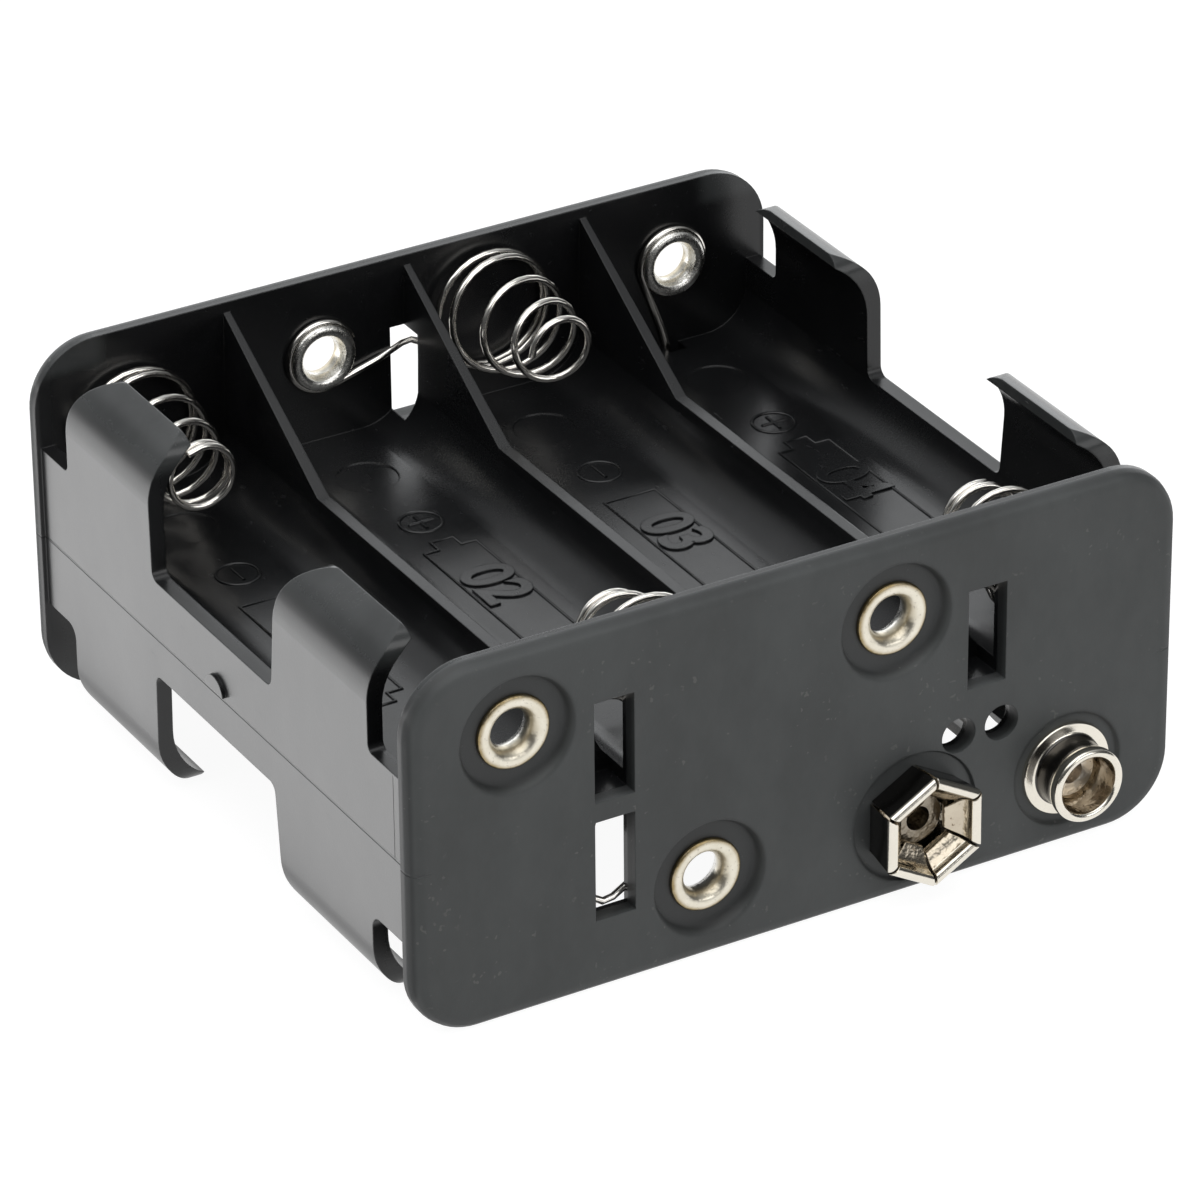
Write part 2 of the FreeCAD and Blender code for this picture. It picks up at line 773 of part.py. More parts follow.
# How a spring stands: its base's offset and its axis's lean, both in X and Z, its closed turns at
# the base and at the tip, and its reach from the plate
def plain_stand():
    return ((0, 0), (0, spring_lean), coil_base_turns, coil_tip_turns, spring_reach)


# Springs that link sideways: side, bay, end, the bay whose eyelet they loop round, how they stand
def side_springs():
    return [(1, 2, "front", 1, ((0.48, 0.28), (-1.09, -2.00), 0.80, 1.07, 11.27)),
            (1, 4, "front", 3, ((-1.39, 0.26), (0.62, -1.49), 0.70, 1.21, 10.84)),
            (-1, 1, "front", 2, plain_stand()),
            (1, 3, "back", 2, ((-0.94, 0.35), (0.16, 1.10), 1.41, 0.50, 11.38)),
            (-1, 2, "back", 3, plain_stand())]


# Springs that link to the eyelet on the other side of the floor
def upright_springs():
    return [(1, 1, "back", ((-0.52, -1.61), (0.14, 0.67), 1.38, 1.24, 11.33)),
            (-1, 4, "back", plain_stand())]


def main():
    save("holder_body", moulding())
    for up, bay, end in eyelet_places():
        save("eyelet_%s_%s_%d" % (end, side_names[up], bay), eyelet(up, bay, end))
    for up, bay, end, link_bay, stand in side_springs():
        shape = spring(up, bay, end, link_bay, stand)
        save("spring_%s_%s_%d" % (end, side_names[up], bay), shape)
    for up, bay, end, stand in upright_springs():
        shape = upright_spring(up, bay, end, stand)
        save("spring_%s_%s_%d" % (end, side_names[up], bay), shape)
    save("spring_front_lower_3", snap_spring(plain_stand()))
    save("snap_stud", snap_stud())
    save("snap_socket", snap_socket())
    stud_sheet = stud_neck_radius - stud_bore_radius
    save("stud_rivet", snap_rivet(stud_x, stud_sheet, 0))
    save("socket_rivet", snap_rivet(socket_x, socket_sheet, wire_diameter + 2 * wire_clearance))


main()
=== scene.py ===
"""Looks of the battery holder: black moulding, nickel contacts, wound springs and floor marks."""

import math

import bpy
from mathutils import Matrix, Vector


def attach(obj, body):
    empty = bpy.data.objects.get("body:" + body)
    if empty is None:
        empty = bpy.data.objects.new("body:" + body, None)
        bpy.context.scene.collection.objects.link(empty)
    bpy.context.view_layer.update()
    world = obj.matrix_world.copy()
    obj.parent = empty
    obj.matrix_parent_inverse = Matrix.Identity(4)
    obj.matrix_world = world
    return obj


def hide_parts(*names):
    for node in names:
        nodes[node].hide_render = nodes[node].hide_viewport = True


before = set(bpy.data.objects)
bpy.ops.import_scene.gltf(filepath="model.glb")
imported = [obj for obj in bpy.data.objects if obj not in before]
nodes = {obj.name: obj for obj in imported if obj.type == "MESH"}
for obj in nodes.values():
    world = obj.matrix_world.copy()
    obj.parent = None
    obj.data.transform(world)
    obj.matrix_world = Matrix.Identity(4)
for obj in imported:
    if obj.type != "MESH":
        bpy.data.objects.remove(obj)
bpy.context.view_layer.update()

MM = 0.001

# The sizes of the CAD source that the looks are fitted to, in millimetres
plate_width = 61.6
plate_wall = 1.6
front_face = -27.25
back_face = 30.25
middle = 14.25
corner_radius = 5.0
bay_pitch = 15.0
contact_rise = 7.95
floor_half = 0.9
floor_gap_width = 1.5
slot_width = 3.15
wire_diameter = 0.55
wire_clearance = 0.03
wire_radius = wire_diameter / 2
coil_base_radius = 4.65
coil_tip_radius = 2.5
coil_lay = 0.66
coil_open_turns = 2.9
link_loop_radius = 2.7
crest_rises = {"front": 8.2, "back": 7.2}
link_crest_sink = 0.25
snap_drop = 8.15
stud_x = 21.95
socket_x = stud_x - 12.7
rivet_barrel_radius = 1.3

half_way = (back_face + front_face) / 2
bays_across = 4
bay_centres = [bay_pitch * (i - (bays_across - 1) / 2) for i in range(bays_across)]
end_faces = {"front": (front_face, 1), "back": (back_face, -1)}
side_names = {1: "upper", -1: "lower"}


class Value:
    """A node socket that can stand in a sum, so that shader maths reads as Python."""

    def __init__(self, finish, socket):
        self.finish = finish
        self.socket = socket

    def math(self, operation, *others):
        return self.finish.node("ShaderNodeMath", {"operation": operation}, [self, *others])

    def reflected(self, operation, other):
        return self.finish.node("ShaderNodeMath", {"operation": operation}, [other, self])

    def __add__(self, other):
        return self.math("ADD", other)

    def __radd__(self, other):
        return self.reflected("ADD", other)

    def __sub__(self, other):
        return self.math("SUBTRACT", other)

    def __rsub__(self, other):
        return self.reflected("SUBTRACT", other)

    def __mul__(self, other):
        return self.math("MULTIPLY", other)

    def __rmul__(self, other):
        return self.reflected("MULTIPLY", other)

    def size(self):
        return self.math("ABSOLUTE")

    def clamped(self):
        return self.finish.node("ShaderNodeClamp", {}, [self, 0.0, 1.0])

    def between(self, low, high):
        """0 below low, 1 above high and a smooth ramp between them."""
        settings = {"interpolation_type": "SMOOTHSTEP"}
        return self.finish.node("ShaderNodeMapRange", settings, [self, low, high, 0.0, 1.0])


class Finish:
    """One material, with its principled shader."""

    def __init__(self, name, **constants):
        self.material = bpy.data.materials.new(name)
        self.material.use_nodes = True
        self.tree = self.material.node_tree
        self.shader = self.tree.nodes["Principled BSDF"]
        for socket, value in constants.items():
            self.shader.inputs[socket.replace("_", " ")].default_value = value
        coordinates = self.tree.nodes.new("ShaderNodeTexCoord")
        self.place = Value(self, coordinates.outputs["Object"])

    def node(self, kind, settings, inputs, output=0):
        made = self.tree.nodes.new(kind)
        for setting, value in settings.items():
            setattr(made, setting, value)
        pairs = inputs.items() if isinstance(inputs, dict) else enumerate(inputs)
        for socket, value in pairs:
            if isinstance(value, Value):
                self.tree.links.new(value.socket, made.inputs[socket])
            elif value is not None:
                made.inputs[socket].default_value = value
        return Value(self, made.outputs[output])

    def feed(self, socket, value):
        self.tree.links.new(value.socket, self.shader.inputs[socket])

    def along(self, axis):
        """Distance along X, Y or Z of the object, in millimetres."""
        parts = self.node("ShaderNodeSeparateXYZ", {}, [self.place], axis)
        return parts * (1 / MM)

    def noise(self, size, detail=2.0, roughness=0.5, stretch=(1, 1, 1)):
        """Noise from 0 to 1 whose blotches are about size millimetres wide."""
        scaled = self.node("ShaderNodeVectorMath", {"operation": "MULTIPLY"}, [self.place, stretch])
        inputs = {"Vector": scaled, "Scale": 1 / (size * MM), "Detail": detail, "Roughness": roughness}
        return self.node("ShaderNodeTexNoise", {"noise_dimensions": "3D"}, inputs)

    def mixed(self, share, first, second):
        """Colour between two others."""
        inputs = {"Factor": share, 6: first, 7: second}
        return self.node("ShaderNodeMix", {"data_type": "RGBA"}, inputs, 2)

    def blended(self, share, first, second):
        """Vector between two others."""
        inputs = {"Factor": share, 4: first, 5: second}
        return self.node("ShaderNodeMix", {"data_type": "VECTOR"}, inputs, 1)

    def bump(self, height, normal=None):
        """Normal of a relief whose height is in millimetres."""
        inputs = {"Strength": 1.0, "Distance": MM, "Height": height}
        if normal is not None:
            inputs["Normal"] = normal
        return self.node("ShaderNodeBump", {}, inputs)

    def eased_edges(self, radius):
        """Normal that rounds every edge by a radius in millimetres."""
        return self.node("ShaderNodeBevel", {"samples": 4}, [radius * MM])

    def from_bay_axis(self, x, z):
        """Distance from the axis of the nearest bay, where the bays' walls lie at whole pitches."""
        across = ((x * (1 / bay_pitch)).math("FRACT") - 0.5) * bay_pitch
        rise = (z - middle).size() - contact_rise
        return (across * across + rise * rise).math("SQRT")


# Lines that the mould's halves left on the side walls
parting_z = 13.45
joint_y = -24.35
seam_depth = 0.07


def black_moulding():
    """Black injection-moulded plastic: fine grain on the plates' outer faces, polish in the bays, and a
    painted sheen on the fingers' curled tops.
    """
    plastic = Finish("black_moulding", IOR=1.5)
    x, y, z = (plastic.along(axis) for axis in range(3))
    grain = plastic.noise(0.16, 3.0, 0.6)
    swell = plastic.noise(5.0, 2.0)
    cloud = plastic.noise(13.0, 5.0, 0.62, (1, 1, 0.6)).between(0.32, 0.68)
    patch = plastic.noise(5.0, 2.0, 0.5).between(0.45, 0.62)
    scuff = plastic.noise(0.9, 4.0, 0.7, (1, 0.35, 1)).between(0.62, 0.78)
    side_wall = x.size().between(29.0, 30.0)
    from_middle = (y - half_way).size()
    plate_face = from_middle.between(27.5, 27.8)
    skin = from_middle.between(28.1, 28.6)
    flank = x.size().between(30.3, 30.6) * from_middle.between(27.0, 27.2)
    dust = plastic.noise(0.5, 1.0, 0.5).between(0.69, 0.74) * patch * plate_face
    # The fingers' curled tops take half the grained tone: their grain, plus a painted sheen for the light
    # that falls on the tops.
    finger_top_sheen = x.size().between(24.5, 26.0) * (z - middle).size().between(11.4, 12.6)
    polished = plastic.mixed(cloud, (0.0055, 0.0057, 0.0062, 1), (0.009, 0.0094, 0.0101, 1))
    grained_and_sheen = plastic.mixed(cloud, (0.048, 0.0515, 0.0515, 1), (0.084, 0.0895, 0.0895, 1))
    tone = plastic.mixed((plate_face * 0.45 + skin * 0.55).math("MAXIMUM", finger_top_sheen * 0.5), polished, grained_and_sheen)
    tone = plastic.mixed(scuff * 0.16, tone, (0.07, 0.072, 0.074, 1))
    tone = plastic.mixed(dust * 0.4, tone, (0.2, 0.2, 0.19, 1))
    plastic.feed("Base Color", tone)
    sheen = 0.2 + cloud * 0.05 + plate_face * 0.23 + side_wall * 0.06 + scuff * 0.08 + grain * 0.05
    plastic.feed("Roughness", sheen + flank * 0.28)
    parting = (1 - (z - parting_z).size().between(0.03, 0.12)) * side_wall
    joint = (1 - (y - joint_y).size().between(0.03, 0.12)) * side_wall
    joint = joint * z.between(13.4, 13.6) * (1 - z.between(19.8, 20.1))
    height = grain * (0.004 + plate_face * 0.008) + swell * 0.02 + scuff * 0.002
    height = height - (parting + joint) * seam_depth
    past_x = (x.size() - (plate_width / 2 - corner_radius)).math("MAXIMUM", 0.0)
    past_z = ((z - middle).size() - (middle - corner_radius)).math("MAXIMUM", 0.0)
    rim = (past_x * past_x + past_z * past_z).math("SQRT").between(3.75, 4.0)
    reach = plastic.from_bay_axis(x, z)
    dish = reach.between(3.3, 3.5) * (1 - reach.between(4.9, 5.1))
    soft = rim.math("MAXIMUM", dish) * plate_face
    normal = plastic.blended(soft, plastic.eased_edges(0.14), plastic.eased_edges(0.5))
    plastic.feed("Normal", plastic.bump(height, normal))
    return plastic.material


def plated_metal(name, pale, dark, rough, wear, dent=0.02, pits=0.004):
    """Nickel plate that dulls and browns in patches."""
    metal = Finish(name, Metallic=1.0)
    cloud = metal.noise(1.6, 3.0, 0.6)
    spots = metal.noise(0.35, 4.0, 0.7).between(0.58, 0.72)
    fine = metal.noise(0.1, 2.0, 0.6)
    tone = metal.mixed((spots * wear + cloud * 0.35).clamped(), pale, dark)
    metal.feed("Base Color", tone)
    metal.feed("Roughness", rough + cloud * 0.1 + spots * wear * 0.25)
    metal.feed("Normal", metal.bump(fine * pits + cloud * dent))
    return metal.material


def eyelet_metal():
    """Ivory-coloured plate of the eyelets: grimy along the flange's outer edge, with painted shade down
    the bore, rough and specked on the clinch.
    """
    metal = Finish("ivory_nickel", Metallic=1.0)
    x, y, z = (metal.along(axis) for axis in range(3))
    reach = metal.from_bay_axis(x, z)
    clinched = 1 - (y - half_way).size().between(26.8, 27.6)
    blotch = metal.noise(0.8, 3.0, 0.6)
    fine = metal.noise(0.12, 3.0, 0.65)
    specks = metal.noise(0.28, 3.0, 0.6).between(0.6, 0.68)
    # Grime in blotches on the flange's outer edge, and painted shade that darkens the bore evenly; both
    # lessen on the clinch.
    edge = reach.between(2.35, 2.74) * (0.45 + blotch) + (1 - reach.between(1.5, 2.1)) * 0.5
    grime_and_bore_shade = edge * (1 - clinched * 0.8)
    tone = metal.mixed(blotch, (0.85, 0.81, 0.71, 1), (0.66, 0.61, 0.49, 1))
    tone = metal.mixed(grime_and_bore_shade.clamped(), tone, (0.34, 0.26, 0.13, 1))
    tone = metal.mixed(clinched, tone, (0.86, 0.85, 0.81, 1))
    tone = metal.mixed(specks * (0.3 + clinched * 0.3), tone, (0.12, 0.1, 0.08, 1))
    metal.feed("Base Color", tone)
    metal.feed("Roughness", 0.27 + blotch * 0.12 - clinched * 0.06 + specks * 0.15)
    metal.feed("Normal", metal.bump(fine * (0.006 + clinched * 0.008) + blotch * 0.05))
    return metal.material


moulding_finish = black_moulding()
eyelet_finish = eyelet_metal()
wire_finish = plated_metal("spring_wire", (0.88, 0.85, 0.8, 1), (0.66, 0.63, 0.58, 1), 0.12, 0.15,
                           0.004, 0.0006)
snap_finish = plated_metal("snap_nickel", (0.82, 0.78, 0.69, 1), (0.55, 0.5, 0.42, 1), 0.12, 0.2)
# Darker, browner plate inside the snaps: brown tarnish, with painted shade for their hollows.
tarnish_and_shade_finish = plated_metal("tarnish_and_shade_cup", (0.64, 0.57, 0.46, 1), (0.18, 0.13, 0.08, 1), 0.16, 0.7, 0.16,
                          0.002)
# Near-black plate that paints the dark reflection on the stud's neck and the socket's outer walls.
dark_reflection_finish = plated_metal("painted_dark_reflection", (0.09, 0.085, 0.08, 1), (0.03, 0.028, 0.026, 1), 0.16, 0.3)
rivet_finish = plated_metal("rough_rivet", (0.82, 0.76, 0.68, 1), (0.34, 0.27, 0.2, 1), 0.28, 0.9, 0.2)
# Darker copy of the rivet plate for the rivet deep in the socket: painted shade.
shaded_rivet_finish = plated_metal("painted_shade_rivet", (0.34, 0.3, 0.24, 1), (0.07, 0.055, 0.04, 1), 0.24, 0.9, 0.3)


def finished(piece, material):
    """Gives a piece its one material, in its mesh's only slot."""
    piece.data.materials.clear()
    piece.data.materials.append(material)
    return piece


def mesh_piece(name, vertices, faces, material):
    """Smooth-shaded mesh from points in millimetres, fixed to the body."""
    data = bpy.data.meshes.new(name)
    data.from_pydata([Vector(v) * MM for v in vertices], [], faces)
    data.validate()
    for polygon in data.polygons:
        polygon.use_smooth = True
    data.set_sharp_from_angle(angle=math.radians(40))
    piece = bpy.data.objects.new(name, data)
    bpy.context.scene.collection.objects.link(piece)
    finished(piece, material)
    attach(piece, "root")
    return piece


def arc_points(centre, radius, start, end, steps):
    """Points of an arc in a plane, with both its ends."""
    made = []
    for i in range(steps + 1):
        angle = start + (end - start) * i / steps
        made.append((centre[0] + radius * math.cos(angle), centre[1] + radius * math.sin(angle)))
    return made


def bay_axis(up, bay):
    """X and Z of a bay's middle line; up is 1 for the upper bays and -1 for the lower ones."""
    return bay_centres[bay - 1], middle + up * contact_rise


def coil_path(axis, seat_y, inward, start_angle, turn, stand):
    """Centre line of a conical spring, with the turns of the CAD solid and finer steps."""
    steps = 28
    offset, lean, base_turns, tip_turns, reach = stand
    points = []
    first = wire_radius + wire_clearance
    open_rise = reach - 2 * first - (base_turns + tip_turns) * coil_lay
    for i in range(int(round((base_turns + coil_open_turns + tip_turns) * steps)) + 1):
        done = i / steps
        opened = min(max(done - base_turns, 0), coil_open_turns)
        share = opened / coil_open_turns
        height = first + (done - opened) * coil_lay + share * open_rise
        radius = coil_base_radius + (coil_tip_radius - coil_base_radius) * share
        angle = start_angle + turn * 2 * math.pi * done
        points.append((axis[0] + offset[0] + radius * math.cos(angle) + lean[0] * height / reach,
                       seat_y + inward * height,
                       axis[1] + offset[1] + radius * math.sin(angle) + lean[1] * height / reach))
    return points


def crossing_link(up, spring_bay, eyelet_bay, end):
    """Loop round the neighbouring eyelet, then over the crest in the plate's slot."""
    face_y, inward = end_faces[end]
    lay_y = face_y + inward * (plate_wall + wire_radius + wire_clearance)
    eye_x, z = bay_axis(up, eyelet_bay)
    spring_x = bay_axis(up, spring_bay)[0]
    toward = 1 if spring_x > eye_x else -1
    slot_x = (eye_x + spring_x) / 2
    crest_y = face_y + inward * (plate_wall - link_crest_sink)
    leave = math.radians(-70)
    loop = arc_points((0, 0), link_loop_radius, leave - 1.5 * math.pi, leave, 36)
    points = [(eye_x + toward * px, lay_y, z + up * pz) for px, pz in loop]
    edge = slot_width / 2 - wire_radius - wire_clearance
    for along, y, drop in ((-edge, lay_y, 0.35), (-edge / 3, crest_y, 0.05),
                           (edge / 3, crest_y, 0.1), (edge, lay_y, 0.5)):
        points.append((slot_x + toward * along, y, middle + up * (crest_rises[end] - drop)))
    return points, toward


def side_spring(up, bay, end, link_bay, stand):
    """Spring that links to the eyelet of the next bay."""
    face_y, inward = end_faces[end]
    link, toward = crossing_link(up, bay, link_bay, end)
    start = math.radians(-118 if toward > 0 else -62)
    return link + coil_path(bay_axis(up, bay), face_y + inward * plate_wall, inward, start * up,
                            up * toward, stand)


def upright_spring(up, bay, end, stand):
    """Spring that links to the eyelet on the floor's other side, through the floor gap."""
    face_y, inward = end_faces[end]
    lay_y = face_y + inward * (plate_wall + wire_radius + wire_clearance)
    x, eye_z = bay_axis(-up, bay)
    loop = arc_points((0, 0), link_loop_radius, math.radians(-70), math.radians(197), 36)
    points = [(x + px, lay_y, eye_z - up * pz) for px, pz in loop]
    points.append((x - floor_gap_width * 0.15, lay_y, middle - up * floor_half))
    points.append((x - floor_gap_width * 0.1, lay_y, middle + up * floor_half))
    return points + coil_path(bay_axis(up, bay), face_y + inward * plate_wall, inward,
                              math.radians(-75) * up, up, stand)


def snap_spring(stand):
    """Spring that the female contact's rivet holds, with its loop inside the base coil."""
    seat_y = front_face + plate_wall
    lay_y = seat_y + wire_radius + wire_clearance
    loop = arc_points((socket_x, middle - snap_drop), rivet_barrel_radius + wire_radius + 0.2,
                      math.radians(-60), math.radians(200), 30)
    points = [(px, lay_y, pz) for px, pz in loop]
    return points + coil_path(bay_axis(-1, 3), seat_y, 1, math.radians(-150), 1, stand)


def wire_piece(name, path, node):
    """Round wire along a smooth line, as a mesh that stands for the CAD spring."""
    curve = bpy.data.curves.new(name, "CURVE")
    curve.dimensions = "3D"
    curve.bevel_depth = wire_radius * MM
    curve.bevel_resolution = 3
    curve.resolution_u = 1
    curve.use_fill_caps = True
    spline = curve.splines.new("NURBS")
    spline.points.add(len(path) - 1)
    for control, p in zip(spline.points, path):
        control.co = (p[0] * MM, p[1] * MM, p[2] * MM, 1)
    spline.order_u = 4
    spline.use_endpoint_u = True
    holder = bpy.data.objects.new(name + "_line", curve)
    bpy.context.scene.collection.objects.link(holder)
    shown = bpy.data.meshes.new_from_object(holder.evaluated_get(bpy.context.evaluated_depsgraph_get()))
    bpy.data.objects.remove(holder)
    for polygon in shown.polygons:
        polygon.use_smooth = True
    piece = bpy.data.objects.new(name, shown)
    bpy.context.scene.collection.objects.link(piece)
    finished(piece, wire_finish)
    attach(piece, "root")
    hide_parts(node)
    return piece


# How a spring stands: its base's offset and its axis's lean, closed turns at base and tip, reach
plain_stand = ((0, 0), (0, -0.4), 1.1, 1.2, 11.4)
side_springs = [(1, 2, "front", 1, ((0.48, 0.28), (-1.09, -2.00), 0.80, 1.07, 11.27)),
                (1, 4, "front", 3, ((-1.39, 0.26), (0.62, -1.49), 0.70, 1.21, 10.84)),
                (-1, 1, "front", 2, plain_stand),
                (1, 3, "back", 2, ((-0.94, 0.35), (0.16, 1.10), 1.41, 0.50, 11.38)),
                (-1, 2, "back", 3, plain_stand)]
upright_springs = [(1, 1, "back", ((-0.52, -1.61), (0.14, 0.67), 1.38, 1.24, 11.33)),
                   (-1, 4, "back", plain_stand)]


def springs():
    for up, bay, end, link_bay, stand in side_springs:
        node = "spring_%s_%s_%d" % (end, side_names[up], bay)
        wire_piece("wound_" + node, side_spring(up, bay, end, link_bay, stand), node)
    for up, bay, end, stand in upright_springs:
        node = "spring_%s_%s_%d" % (end, side_names[up], bay)
        wire_piece("wound_" + node, upright_spring(up, bay, end, stand), node)
    wire_piece("wound_spring_front_lower_3", snap_spring(plain_stand), "spring_front_lower_3")


def turned_piece(name, profile, x, z, face_y, inward, material, steps=72):
    """Closed profile of (radius, depth inwards from the face) turned about a line along Y."""
    vertices, faces = [], []
    count = len(profile)
    for i in range(steps):
        angle = 2 * math.pi * i / steps
        for r, d in profile:
            vertices.append((x + r * math.cos(angle), face_y + inward * d, z + r * math.sin(angle)))
    for i in range(steps):
        j = (i + 1) % steps
        for k in range(count):
            m = (k + 1) % count
            quad = [i * count + k, i * count + m, j * count + m, j * count + k]
            faces.append(quad if inward < 0 else quad[::-1])
    return mesh_piece(name, vertices, faces, material)


def flowing(points, steps=4):
    """Smooth line through points of (radius, depth)."""
    made = []
    last = len(points) - 1
    for i in range(last):
        a, b, c, d = (Vector(points[k]) for k in (max(i - 1, 0), i, i + 1, min(i + 2, last)))
        for step in range(steps):
            t = step / steps
            p = 2 * b + (c - a) * t + (2 * a - 5 * b + 4 * c - d) * t ** 2
            p = (p + (3 * b - a - 3 * c + d) * t ** 3) / 2
            made.append((p.x, p.y))
    return made + [points[-1]]


def eyelets():
    """Tubular eyelets with the rolled flange outside and the pressed ring inside."""
    for name in sorted(nodes):
        if not name.startswith("eyelet_"):
            continue
        place = name.split("_")
        x, z = bay_axis(1 if place[2] == "upper" else -1, int(place[3]))
        face_y, inward = end_faces[place[1]]
        flange = [(2.1, 2.21), (2.1, 0.75), (2.74, 0.75), (2.79, 0.7), (2.79, 0.54), (2.72, 0.44),
                  (2.58, 0.39), (2.2, 0.39)]
        bore = flowing([(2.12, 0.4), (1.88, 0.52), (1.62, 0.85), (1.5, 1.2), (1.5, 1.7), (1.66, 2.1)])
        roll = arc_points((2.2, 2.28), 0.42, math.radians(170), math.radians(-10), 14)
        profile = flange + bore + [(r, 2.28 + (d - 2.28) * 0.7) for r, d in roll]
        piece = turned_piece("rolled_" + name, profile, x, z, face_y, inward,
                             eyelet_finish)
        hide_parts(name)


# How far the tongue of each sprung leaf is pushed in
leaf_pushes = (0.5, 0.1, 0.65, 0.25, 0.55, 0.0)


def male_snap(z):
    """The drawn stud: base, neck with a painted dark reflection, rolled rim, and a cup with brown tarnish
    and painted shade.
    """
    outside = [(1.35, 0.3), (3.6, 0.3), (3.6, 0.06), (3.52, -0.04), (3.4, -0.06), (2.98, -0.07)]
    outside += flowing([(2.85, -0.1), (2.72, -0.22), (2.66, -0.45), (2.65, -1.0), (2.65, -1.6),
                        (2.7, -1.9), (2.8, -2.08), (2.86, -2.3)])
    outside += arc_points((2.53, -2.67), 0.33, 0, -math.pi, 12)
    inside = flowing([(2.2, -1.0), (2.2, -0.45), (2.1, -0.15), (1.85, -0.06), (1.35, -0.05)])
    stud = turned_piece("drawn_stud", outside + inside, stud_x, z, front_face, 1,
                        snap_finish)
    stud.data.materials.append(tarnish_and_shade_finish)
    stud.data.materials.append(dark_reflection_finish)
    for polygon in stud.data.polygons:
        centre = polygon.center / MM
        reach = math.hypot(centre.x - stud_x, centre.z - z)
        # The cup's inside takes the tarnish with painted shade.
        if reach < 2.25 and centre.y > front_face - 2.7:
            polygon.material_index = 1
        # The neck takes the painted dark reflection.
        elif reach < 2.8 and front_face - 2.15 < centre.y < front_face - 0.12:
            polygon.material_index = 2
    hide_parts("snap_stud")


def female_snap(z):
    """Six sprung leaves round a base, with brown tarnish and painted shade inside and a painted dark
    reflection on their outer walls.
    """
    outside = [(3.55, 0.3), (3.55, 0.02), (3.6, -0.3)]
    outside += arc_points((3.43, -2.48), 0.42, 0, -math.pi, 14)
    slope = math.tan(math.radians(30))
    vertices, faces = [], []
    for leaf, push in enumerate(leaf_pushes):
        tongue = flowing([(2.94, -2.25), (2.7, -1.85), (2.36 - push / 2, -1.5), (2.16 - push, -1.2),
                          (2.2 - push, -0.85), (2.36 - push / 2, -0.5)])
        inside = flowing([(2.56 - push / 2, -0.54), (2.4 - push, -0.9), (2.36 - push, -1.2),
                          (2.54 - push / 2, -1.45), (2.86, -1.8), (3.12, -2.2)])
        inside += arc_points((3.43, -2.48), 0.2, -math.pi, 0, 8)[1:]
        inside += [(3.35, -0.3), (3.28, 0.0), (3.27, 0.3)]
        profile = outside + tongue + inside
        count = len(profile)
        angle = math.radians(60 * leaf)
        base = len(vertices)
        for side in (-1, 1):
            for r, d in profile:
                half = side * (r * slope - 0.12)
                vertices.append((socket_x + r * math.cos(angle) - half * math.sin(angle), front_face + d,
                                 z + r * math.sin(angle) + half * math.cos(angle)))
        for k in range(count):
            m = (k + 1) % count
            faces.append([base + k, base + m, base + count + m, base + count + k])
        faces.append([base + k for k in range(count)][::-1])
        faces.append([base + count + k for k in range(count)])
    socket = mesh_piece("sprung_socket", vertices, faces, snap_finish)
    socket.data.materials.append(tarnish_and_shade_finish)
    socket.data.materials.append(dark_reflection_finish)
    for polygon in socket.data.polygons:
        centre = polygon.center / MM
        reach = math.hypot(centre.x - socket_x, centre.z - z)
        # The leaves' insides take the tarnish with painted shade.
        if reach < 3.2 and front_face - 2.2 < centre.y < front_face:
            polygon.material_index = 1
        # The leaves' outer walls take the painted dark reflection.
        elif reach > 3.45 and centre.y > front_face - 2.3:
            polygon.material_index = 2
    ease = socket.modifiers.new("eased", "BEVEL")
    ease.width = 0.05 * MM
    ease.segments = 2
    ease.limit_method = "ANGLE"
    ease.angle_limit = math.radians(45)
    # The base inside the socket takes the tarnish with painted shade.
    floor_ring = [(1.35, 0.3), (3.3, 0.3), (3.3, 0.02), (1.35, 0.02)]
    turned_piece("socket_base", floor_ring, socket_x, z, front_face, 1, tarnish_and_shade_finish)
    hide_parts("snap_socket")


def take_mesh(name, holder, matrix):
    """Turns a curve or a text into a moulded piece of mesh, put in place by the matrix."""
    bpy.context.view_layer.update()
    shown = bpy.data.meshes.new_from_object(holder.evaluated_get(bpy.context.evaluated_depsgraph_get()))
    bpy.data.objects.remove(holder)
    shown.transform(matrix)
    piece = bpy.data.objects.new(name, shown)
    bpy.context.scene.collection.objects.link(piece)
    finished(piece, moulding_finish)
    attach(piece, "root")
    return piece


def raised_line(name, points, closed, up, width=0.3):
    """Half-round moulded line that stands on a bay's floor. Points are in the bay's plane."""
    curve = bpy.data.curves.new(name, "CURVE")
    curve.dimensions = "3D"
    curve.bevel_depth = width / 2 * MM
    curve.bevel_resolution = 2
    spline = curve.splines.new("POLY")
    spline.points.add(len(points) - 1)
    for control, p in zip(spline.points, points):
        control.co = (p[0] * MM, p[1] * MM, 0, 1)
    spline.use_cyclic_u = closed
    holder = bpy.data.objects.new(name + "_line", curve)
    bpy.context.scene.collection.objects.link(holder)
    flat = Matrix.Diagonal((1, 1, 0.8, 1))
    return take_mesh(name, holder, Matrix.Translation((0, 0, (middle + up * floor_half) * MM)) @ flat)


def bay_number(name, number, x, y, up):
    """A plain number in the cell's outline, read along the bay."""
    text = bpy.data.curves.new(name, "FONT")
    text.body = number
    text.align_x = "CENTER"
    text.align_y = "CENTER"
    text.size = 5.6 * MM
    text.offset = 0.13 * MM
    text.extrude = 0.08 * MM
    text.bevel_depth = 0.03 * MM
    holder = bpy.data.objects.new(name + "_line", text)
    bpy.context.scene.collection.objects.link(holder)
    turn = Matrix.Rotation(math.radians(-90), 4, "Z")
    tip = Matrix.Identity(4) if up > 0 else Matrix.Rotation(math.pi, 4, "Y")
    place = Matrix.Translation((x * MM, y * MM, (middle + up * (floor_half + 0.04)) * MM))
    return take_mesh(name, holder, place @ tip @ turn)


